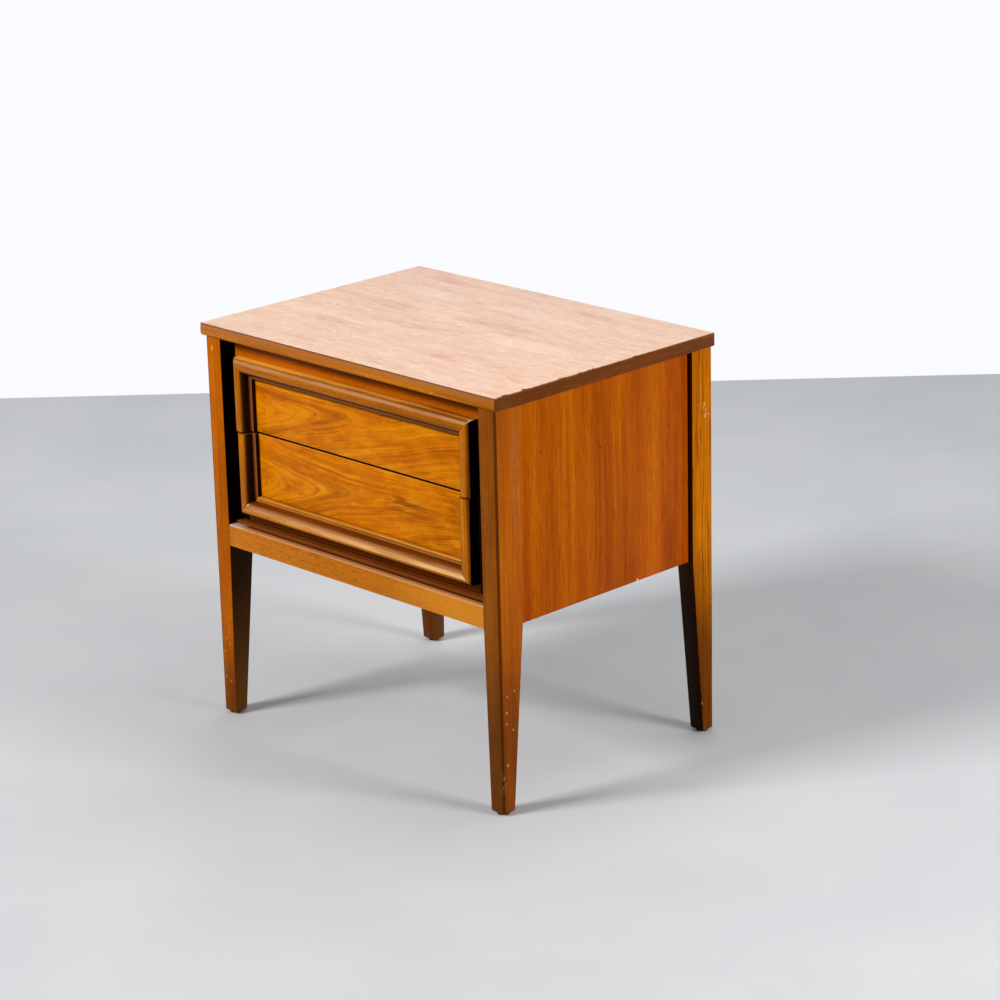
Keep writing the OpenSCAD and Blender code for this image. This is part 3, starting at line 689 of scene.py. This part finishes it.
# Painted reflection: the upper part of the face is lighter, as if it mirrored the bright room.
edging.over(edging.rise(edging.z, *MIRRORS) * 0.7, colour(156, 94, 44))
ends = edging.rise(abs(edging.facing[X]), 0.6, 0.9)
edging.over(ends, edging.board(shades(104, 54, 14, 0.2), lines=900))
joint = edging.rise(edging.y, edging_high.y - 0.0008, edging_high.y - 0.0003) * ends
edging.over(joint * 0.6, colour(190, 150, 116))
nick = edging.marks(Y, 0.0018, (166.9, 542.6))
edging.over(nick * 0.9, colour(240, 214, 176))
dress(edging.lay(), front_edging)
print("front edging set back", round(set_back(edging_high.z) * 1000, 2), "mm at the laminate")

# %% [markdown]
# ## Edging strips
# Thin dark strips cover the ends and the rear of the top. Hands and damp cloths have
# rubbed them in some places and darkened them in others, so two slow noises lie over the
# grain: one adds lighter patches, the other darker ones.

# %% Edging strips
for node, along in (("top_left_edging", Y), ("top_right_edging", Y), ("top_rear_edging", X)):
    strip = Wood(node + "_walnut", along, Specular_IOR_Level=0.14)
    strip.skin = strip.board(shades(104, 50, 6, 0.22), lines=300, bands=24)
    wear_and_sheen = strip.rise(strip.spots(30, 30, 260, 4, 0.65), 0.52, 0.72)
    strip.over(wear_and_sheen * 0.3, colour(160, 92, 44))
    scuffed = strip.rise(strip.spots(50, 50, 90, 4, 0.7), 0.55, 0.68)
    strip.over(scuffed * 0.5, colour(72, 32, 8))
    dress(strip.lay(), ease(as_piece(node), "board"))
    print(node, "dressed")

# %% [markdown]
# ## Side panels
# The side panels are covered with ribbon-cut veneer: upright stripes of a reddish orange
# and of a deeper brown, a finger wide, with finer ones in between. They come from noise
# that hardly changes upwards. One ramp would give each stripe the same hue, so a second,
# redder ramp reads the same noise and takes over towards the rear and the bottom. A few
# small dark knots and one pale chip interrupt the stripes.

# %% Side panels
KNOT_SIZE, CHIP_SIZE = 0.0016, 0.0016
side_veneer = Wood("side_veneer", Z, sway=0.008, Specular_IOR_Level=0.06)
ribbon = side_veneer.drawn_out(26, 1.0, 2) * 0.42 \
    + side_veneer.drawn_out(120, 3, 2, 0.6) * 0.28 + side_veneer.drawn_out(560, 34, 3, 0.65) * 0.3
side_veneer.skin = side_veneer.ramp(ribbon, (0.37, colour(144, 62, 0)), (0.46, colour(166, 77, 0)),
                                    (0.54, colour(180, 90, 0)), (0.63, colour(200, 110, 2)))
redder = side_veneer.rise(side_veneer.y, 0.02, 0.19) * 0.5 \
    + side_veneer.rise(side_veneer.z, 0.40, 0.26) * 0.3
side_veneer.over(redder, side_veneer.ramp(ribbon, (0.4, colour(142, 52, 0)),
                                          (0.6, colour(192, 80, 0))))
dashes = side_veneer.rise(side_veneer.drawn_out(330, 26, 2, 0.6), 0.60, 0.70)
side_veneer.over(dashes * 0.35, colour(118, 46, 0))
side_veneer.over(side_veneer.highest(side_veneer.pore, side_veneer.fleck) * 0.3,
                 colour(112, 44, 0))
knots = side_veneer.marks(X, KNOT_SIZE, (-112, 467), (-4, 448), (-135, 446), (124, 449))
side_veneer.over(knots * 0.7, colour(84, 30, 2))
side_veneer.over(side_veneer.marks(X, CHIP_SIZE, (62.5, 251)), colour(236, 214, 190))
side_veneer.lay()
for node in ("left_side_panel", "right_side_panel"):
    dress(side_veneer, ease(as_piece(node), "veneer"))
    print(node, "dressed")

# %% [markdown]
# ## Laminate top
# The top is a thin plastic sheet with a printed wood pattern. Print has no pores to feel,
# so it stays smooth, and its pattern is finer and paler than real veneer. The sheet was
# trimmed at a slant, so its core shows as a line round the top. A Bevel modifier would
# also cut the lower edges, so the upper ones are selected and bevelled in edit mode.

# %% A slanted edge round the laminate
def trim(piece, width):
    """Cuts off the upper edges of a sheet at a slant and leaves its box as it is."""
    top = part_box(piece.name.removesuffix("_made"))[1].z
    pick(piece)
    for part in (*piece.data.polygons, *piece.data.vertices):
        part.select = False
    for edge in piece.data.edges:
        edge.select = all(abs(piece.data.vertices[number].co.z - top) < SAME_PLACE
                          for number in edge.vertices)
    bpy.ops.object.mode_set(mode="EDIT")
    bpy.ops.mesh.select_mode(type="EDGE")
    bpy.ops.mesh.bevel(offset=width, segments=1)
    bpy.ops.object.mode_set(mode="OBJECT")
    return piece


SLANT = 0.0010
sheet = ease(trim(as_piece("top_laminate"), SLANT), "sheet")
print("laminate", len(sheet.data.polygons), "faces")

# %% [markdown]
# The print is fine lines with clouds, mottles and pores over them. Years of use have left
# brown smears, and hazy patches of painted sheen lie over the print. The core's line is
# dark, and on the right end, which faces the right lamp, it is lighter: painted light.
# There it is also ragged, where chips broke off: the border of the pattern is moved in
# and out by a noise, so the chips need no cutting.

# %% Printed pattern
# middle in x and y of each spot, and how far it reaches in x and y, in millimetres
SMEARS = ((-143, 29, 70, 22), (36, 43, 100, 16), (-160, -78, 70, 12), (82, -112, 60, 12),
          (95, 161, 60, 12), (-60, -30, 90, 10))
# Patches of painted sheen.
SHEEN_PATCHES = ((140, 1, 90, 26), (-160, 108, 80, 22), (40, 110, 110, 20))

laminate = Wood("laminate", X, sway=0.012, Roughness=0.46, Specular_IOR_Level=0.3,
                Specular_Tint=(1, 1, 1, 1))


def patch(x, y, reach_x, reach_y):
    """A soft oval on the laminate, in millimetres."""
    return laminate.near(x / 1000, y / 1000, model_high.z, reach_x / 1000, reach_y / 1000, 0.02)


print_lines = laminate.drawn_out(60, 12, 4, 0.65) * 0.4 \
    + laminate.drawn_out(220, 34, 3, 0.65) * 0.3 + laminate.drawn_out(800, 120, 2) * 0.3
laminate.skin = laminate.ramp(print_lines, (0.34, colour(212, 169, 144)),
                              (0.5, colour(225, 188, 164)), (0.66, colour(235, 204, 183)))
printed_clouds = laminate.noise(laminate.scaled(laminate.bent, 7, 26, 26), 4, 0.6)
laminate.over(laminate.rise(printed_clouds, 0.56, 0.72) * 0.55, colour(202, 152, 128))
laminate.over(laminate.rise(printed_clouds, 0.44, 0.30) * 0.45, colour(236, 208, 192))
grainy = laminate.rise(laminate.drawn_out(260, 26, 3, 0.7), 0.42, 0.58)
for smear in SMEARS:
    laminate.over(patch(*smear) * (grainy * 0.5 + 0.12), colour(196, 142, 120))
mottled = laminate.spots(70, 200, 1, 4, 0.7)
laminate.over(laminate.rise(mottled, 0.52, 0.64) * 0.35, colour(206, 152, 120))
laminate.over(laminate.rise(mottled, 0.46, 0.34) * 0.35, colour(242, 214, 192))
printed_pores = laminate.rise(laminate.drawn_out(420, 46, 3, 0.65), 0.56, 0.66)
laminate.over(printed_pores * 0.35, colour(186, 130, 98))
# Painted sheen on the hazy patches.
for sheen_patch in SHEEN_PATCHES:
    laminate.over(patch(*sheen_patch) * 0.28, colour(244, 222, 210))
print("smears", len(SMEARS), "hazy patches", len(SHEEN_PATCHES))

# %% Core line and chips
CORE_LINE = 0.0001, 0.0003  # where the line begins and is full, from the top down
CHIP_DEPTH, PRINT_DEPTH = 0.026, 0.00002

# The core's line is lighter where it faces right, towards the right lamp: painted light.
core_line = laminate.mix(laminate.rise(laminate.facing[X], 0.4, 0.6), colour(84, 44, 28),
                         colour(150, 88, 50))
laminate.over(laminate.rise(laminate.z, *(model_high.z - reach for reach in CORE_LINE)), core_line)
ragged = laminate.spots(50, 75, 1, 4, 0.75) - 0.5
bite = ragged * CHIP_DEPTH * laminate.rise(laminate.y, 0.12, 0.02)
chip = laminate.rise(laminate.x - model_high.x + bite, -0.0002, 0.0002)
laminate.over(chip, colour(92, 46, 12))
laminate.paint(Base_Color=laminate.skin,
               Normal=laminate.bump(laminate.fibre * 0.3 - chip, PRINT_DEPTH))
dress(laminate, sheet)
print("the laminate's core shows below", round(model_high.z - CORE_LINE[1], 4), "m")

# %% [markdown]
# ## Face panels
# Each drawer face is a sheet of flat-sawn veneer. The saw passed near the heart of the
# log, so the growth rings show as nested arches. A Wave texture makes rings too, but
# round and even ones. Here they are distances from a heart at the left end, squeezed
# across the grain, and more so further along. The arches lean upwards to the right, their
# middle is golden, and a brown band lies round it. Some rings are thin dark lines. The
# lower panel has a streaked brown patch at its right end. A painted highlight runs along
# the top edge of both, and their narrow edges are painted black as painted shade.

# %% Face panels
PANEL_TONES = (colour(172, 84, 0), colour(201, 112, 0), colour(222, 142, 4))
THIN_LINE = colour(146, 64, 0)
BROAD_RINGS, FINE_RINGS, WAVY_RINGS, ARCHES = 45, 420, 34, 50  # changes in a metre of `ring`


def face_finish(name, heart, squeeze, lean):
    """Veneer with rings round a heart at (x, z), given how much they squeeze and lean."""
    finish = Wood(name, X, sway=0.010, Specular_IOR_Level=0.07)
    bent_x, _, bent_z = finish.split(finish.bent)
    wave = (finish.spots(12, 12, 20, 1) - 0.5) * 0.010
    from_heart = finish.highest(bent_x - heart[0], 0.0)
    along = from_heart / (from_heart * 4.5 + 1.0)
    aside = (bent_z + wave - heart[1] - from_heart * lean) * (from_heart * 14 + squeeze)
    ring = (along * along + aside * aside) ** 0.5
    rough = finish.spots(60, 60, 180, 3, 0.6)
    rings = finish.noise(finish.vector(ring * BROAD_RINGS + rough * 0.4, finish.x * 3,
                                       finish.z * 6), 2)
    fine = finish.noise(finish.vector(ring * FINE_RINGS + rough * 2.0, finish.x * 24,
                                      finish.z * 20), 3, 0.6)
    cloud = finish.spots(26, 26, 60, 4, 0.65)
    dark, middle, light = PANEL_TONES
    finish.skin = finish.ramp(rings * 0.38 + fine * 0.26 + cloud * 0.36,
                              (0.37, dark), (0.5, middle), (0.63, light))
    golden = finish.rise(ring, 0.088, 0.070) * finish.rise(cloud, 0.32, 0.52) * 0.5
    finish.over(golden, colour(220, 134, 2))
    brown = finish.rise(ring, 0.084, 0.091) * finish.rise(ring, 0.114, 0.097)
    finish.over(brown * (rough * 0.8 + 0.1), colour(156, 76, 0))
    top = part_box(name.replace("veneer", "panel"))[1].z
    # Painted highlight along the top edge.
    finish.over(finish.rise(finish.z, top - 0.0010, top - 0.0006) * 0.6, colour(232, 152, 66))
    wisp = finish.rise(finish.spots(15, 15, 40, 3, 0.6), 0.44, 0.60)
    wavy = finish.noise(finish.vector(ring * WAVY_RINGS + rough * 0.10, finish.x * 1.5, 3.7), 1)
    for contour, width in ((0.5, 0.055), (0.62, 0.040)):
        line = 1.0 - finish.rise(abs(wavy - contour), 0.0, width)
        finish.over(line * wisp * finish.rise(ring, 0.06, 0.11) * (rough * 0.9 + 0.2), THIN_LINE)
    to_and_fro = ring.math("PINGPONG", ring * ARCHES + rough * 0.35 + 0.32, 0.5)
    arch = finish.rise(to_and_fro, 0.41, 0.49) * finish.rise(ring, 0.14, 0.09)
    finish.over(arch * (wisp * 0.3 + 0.35), THIN_LINE)
    finish.over(finish.rise(finish.fibre, 0.5, 0.3) * 0.2, colour(150, 74, 0))
    finish.over(finish.pore * 0.3, colour(120, 58, 2))
    # Painted shade: the narrow edges are nearly black.
    finish.over(finish.rise(abs(finish.facing[Z]), 0.4, 0.8), SHADE_BLACK)
    return finish


# %% Dress the faces
upper_veneer = face_finish("upper_face_veneer", (-0.198, 0.449), 3.0, 0.16)
lower_veneer = face_finish("lower_face_veneer", (-0.200, 0.351), 2.0, 0.12)
brown_patch = lower_veneer.near(0.125, -0.187, 0.371, 0.09, 0.05, 0.020)
brown_streaks = lower_veneer.rise(lower_veneer.drawn_out(190, 12, 3, 0.6), 0.38, 0.66)
lower_veneer.over(brown_patch * brown_streaks * 0.85, colour(104, 56, 6))
dress(upper_veneer.lay(), ease(as_piece("upper_face_panel"), "veneer"))
dress(lower_veneer.lay(), ease(as_piece("lower_face_panel"), "veneer"))
print("rings in a metre", BROAD_RINGS, "broad,", FINE_RINGS, "fine")

# %% [markdown]
# ## Front boards
# The boards behind the mouldings are an even orange walnut, with painted shade under the
# top, and painted nearly black where they reach into the finger gaps, as painted shade.
# Below its moulding the lower board is a deep brown, painted shade under the moulding. The
# shade could be left to the lamps, but soft lamps reach under a small overhang too easily,
# so it is painted.

# %% Front boards
DRAWERS = ("upper", "top"), ("lower", "bottom")  # with the side that its long moulding takes
SHADE_UNDER_TOP = 0.042, 0.029  # where it begins and is full, from the cabinet's top down
GAP_SHADE = 0.512, 0.506  # heights at which it begins and is full
LOOKS_SIDEWAYS = 0.3
for drawer, across in DRAWERS:
    low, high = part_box(f"{drawer}_{across}_moulding")
    board = Wood(f"{drawer}_board_walnut", X, Specular_IOR_Level=0.05)
    board.skin = board.board(shades(184, 94, 0, 0.12))
    under_top = board.rise(board.z, *(model_high.z - reach for reach in SHADE_UNDER_TOP))
    board.dim(under_top, darker(0.45, 0.38, 0.4))
    if drawer == "lower":
        # Painted shade under the lower moulding.
        board.over(board.rise(board.z, low.z + 0.0005, low.z - 0.0005), colour(92, 40, 2))
    # Painted shade: black in the finger gaps and on the narrow edges.
    in_gap = board.rise(abs(board.x), high.x - 0.001, high.x + 0.001) \
        * board.rise(board.z, *GAP_SHADE)
    board_shade = board.highest(in_gap, board.rise(abs(board.facing[Z]), 0.4, 0.8))
    board.over(board_shade, colour(12, 4, 1))
    front_board = ease(as_piece(f"{drawer}_front_board"), "board")
    dress(board.lay(), front_board)
    # Painted shade: the ends in the gaps take the flat black.
    paint_gap_shade(front_board, lambda normal, centre: abs(normal.x) > LOOKS_SIDEWAYS)
    print(drawer, "board stained beyond", round(high.x, 4))

# %% [markdown]
# ## Mouldings
# The mouldings are a browner walnut under a glossier lacquer. Their flanks carry painted
# shade, so the crown looks lit, and the flanks that look up carry a painted hazy
# reflection. The sides that face the panels are nearly black with painted shade. The top
# moulding has a painted highlight along its upper line and painted shade on its lip. The
# lowest one has a painted highlight along its crown, a painted hazy reflection in its
# hollow and a golden painted highlight on its lip. The lips of the uprights are darker with
# painted shade, and three spots at the mitres carry painted glints. The outer sides of the
# frame are painted black as painted shade in the finger gaps. The parts of the profile are
# found by height and by the direction the surface looks in, so the six lengths share one
# recipe.

# %% Finish of a moulding
# Painted glints at the mitres.
MITRE_GLINTS = {  # side, distance inwards from the corner, size
    "top": ((1, 0.0012, 0.0028),),
    "bottom": ((-1, 0.0245, 0.0024), (-1, 0.0170, 0.0026)),
}
# The spray is the painted black shade in the finger gaps; this is how far it reaches in.
SHADED_FLANK = 0.0020  # how far the spray reaches in from the frame's sides


def moulding_finish(name, part, along, low, high):
    """Walnut for one length of moulding, between the corners of the long one across."""
    finish = Wood(name, along, **GLOSSY_LACQUER)
    finish.skin = finish.board(shades(172, 97, 0, 0.2), lines=400, bands=80, pores=0.8)
    dark_streak = finish.rise(finish.drawn_out(200, 6, 3, 0.6), 0.52, 0.64)
    finish.over(dark_streak * 0.5, colour(112, 56, 0))
    # Painted shade: all but the faces that look forward are darker.
    finish.dim(finish.rise(finish.facing[Y], -0.97, -0.75), darker(0.52, 0.42, 0.3))
    upward = finish.facing[Z]
    flank = finish.rise(upward, 0.1, 0.4) * finish.rise(upward, 0.85, 0.6)
    patchy = finish.rise(finish.drawn_out(90, 9, 3, 0.6), 0.36, 0.6)
    if part == "top":
        # Painted hazy reflection on the flank that looks up.
        finish.over(flank * (patchy * 0.35 + 0.4), colour(192, 138, 92))
        # Painted highlight along the upper line, brighter to the left.
        upper_highlight = finish.rise(finish.z, high.z - 0.0014, high.z - 0.0006)
        upper_highlight *= finish.rise(finish.x, 0.10, -0.16) * 0.4 + patchy * 0.4 + 0.1
        finish.over(upper_highlight, colour(232, 156, 46))
        # Painted shade on the lip under the nose.
        lip = finish.rise(finish.z, low.z + 0.0026, low.z + 0.0020)
        finish.over(lip * 0.8, colour(88, 44, 0))
        inner = finish.rise(upward, -0.45, -0.8)
    elif part == "bottom":
        # Painted highlight along the crown.
        wear_and_sheen = finish.rise(upward, 0.50, 0.20) * finish.rise(upward, -0.28, 0.0)
        wear_and_sheen *= finish.rise(finish.y, low.y + 0.004, low.y + 0.002)
        wear_and_sheen *= finish.rise(finish.x, -0.17, 0.17) * 0.45 + patchy * 0.35
        finish.over(wear_and_sheen, colour(240, 190, 124))
        # Painted hazy reflection in the hollow.
        hollow = finish.rise(finish.z, high.z - 0.0030, high.z - 0.0040) * flank
        finish.over(hollow * (patchy * 0.4 + 0.2), colour(170, 118, 82))
        # Painted highlight on the golden lip.
        lip = finish.rise(finish.z, high.z - 0.0024, high.z - 0.0018)
        finish.over(lip * (patchy * 0.4 + 0.4), colour(222, 150, 54))
        inner = finish.rise(upward, 0.8, 0.95) \
            * finish.rise(finish.z, high.z - 0.004, high.z - 0.006) * 0.25
    else:
        inner = finish.rise(finish.facing[X] * (1 if part == "left" else -1), 0.5, 0.85)
        # Painted shade on the lips of the uprights.
        lip = finish.rise(abs(finish.x), high.x - 0.0190, high.x - 0.0198)
        finish.over(lip * 0.8, colour(132, 66, 34))
    # Painted shade on the sides that face the panels.
    finish.over(inner, colour(34, 11, 0))
    # Painted glints at the mitres.
    for side, inwards, reach in MITRE_GLINTS.get(part, ()):
        level_z = high.z - inwards if part == "top" else low.z + inwards
        highlight = finish.near(side * (high.x - inwards), low.y + 0.005, level_z, reach, 0.010, reach)
        finish.over(highlight * 0.9, colour(250, 232, 216))
    return finish.lay()


# %% Dress the mouldings
for drawer, across in DRAWERS:
    low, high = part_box(f"{drawer}_{across}_moulding")
    for part, along in ((across, X), ("left", Z), ("right", Z)):
        finish = moulding_finish(f"{drawer}_{part}_moulding_walnut", part, along, low, high)
        piece = ease(as_piece(f"{drawer}_{part}_moulding"), "veneer")
        dress(finish, piece)
        # Painted shade: the frame's outer sides take the flat black.
        paint_gap_shade(piece, lambda normal, centre: abs(centre.x) > high.x - SHADED_FLANK)
    print(drawer, "mouldings", [round(v * 1000, 1) for v in high - low], "mm")

# %% [markdown]
# ## Inside
# The drawer boxes are pale birch, the frames are a plainer wood, and nobody lacquered
# them. The upper edges of the drawer sides and backs are rounded, as a hand reaches over
# them. The metal is zinc plated, and the foot glides are dark steel. Most of it is seen
# only when a drawer is open, so the nodes take the finish of their slot, and all but the
# rounded ones keep their sharp edges.

# %% Drawer boxes and frame
def plain(name, along, tones, **shader_numbers):
    """Wood without lacquer."""
    finish = Wood(name, along, **{"Roughness": 0.6, "Specular_IOR_Level": 0.3, **shader_numbers})
    finish.skin = finish.board(tones, lines=260, bands=30, pores=0.4)
    return finish.lay()


def metal(name, grain, dark, light, roughness):
    """Metal with specks between a dark and a light tone, this many in a metre."""
    finish = Finish(name, Metallic=1.0, Roughness=roughness)
    speckle = finish.spots(grain, grain, grain)
    return finish.paint(Base_Color=finish.ramp(speckle, (0.3, dark), (0.7, light)))


FINISH_OF_SLOT = {
    "drawer_wood": plain("drawer_side_birch", Y, shades(208, 172, 124, 0.09), Roughness=0.5),
    "drawer_plywood": plain("drawer_bottom_birch", X, shades(214, 182, 136, 0.08),
                            Roughness=0.55),
    "frame_wood": plain("frame_poplar", X, shades(198, 168, 122, 0.12)),
    "dust_plywood": plain("dust_panel_plywood", X, shades(114, 52, 6, 0.2), Roughness=0.7),
    "back_plywood": plain("back_panel_plywood", Z, shades(150, 98, 56, 0.14), Roughness=0.7),
    "top_core_board": plain("core_board", X, shades(176, 140, 98, 0.1), Roughness=0.8),
    "zinc_steel": metal("zinc_steel", 900, colour(150, 150, 152), colour(196, 196, 198), 0.35),
    "glide_steel": metal("glide_steel", 500, colour(34, 32, 30), colour(70, 66, 62), 0.4),
}
rounded = [f"{drawer}_{part}" for drawer, _ in DRAWERS
           for part in ("left_side", "right_side", "box_back")]
for node, slot in slot_of.items():
    if slot in FINISH_OF_SLOT:
        dress(FINISH_OF_SLOT[slot], ease(as_piece(node), "grip") if node in rounded else node)
print(len(rounded), "rounded parts of the drawer boxes")
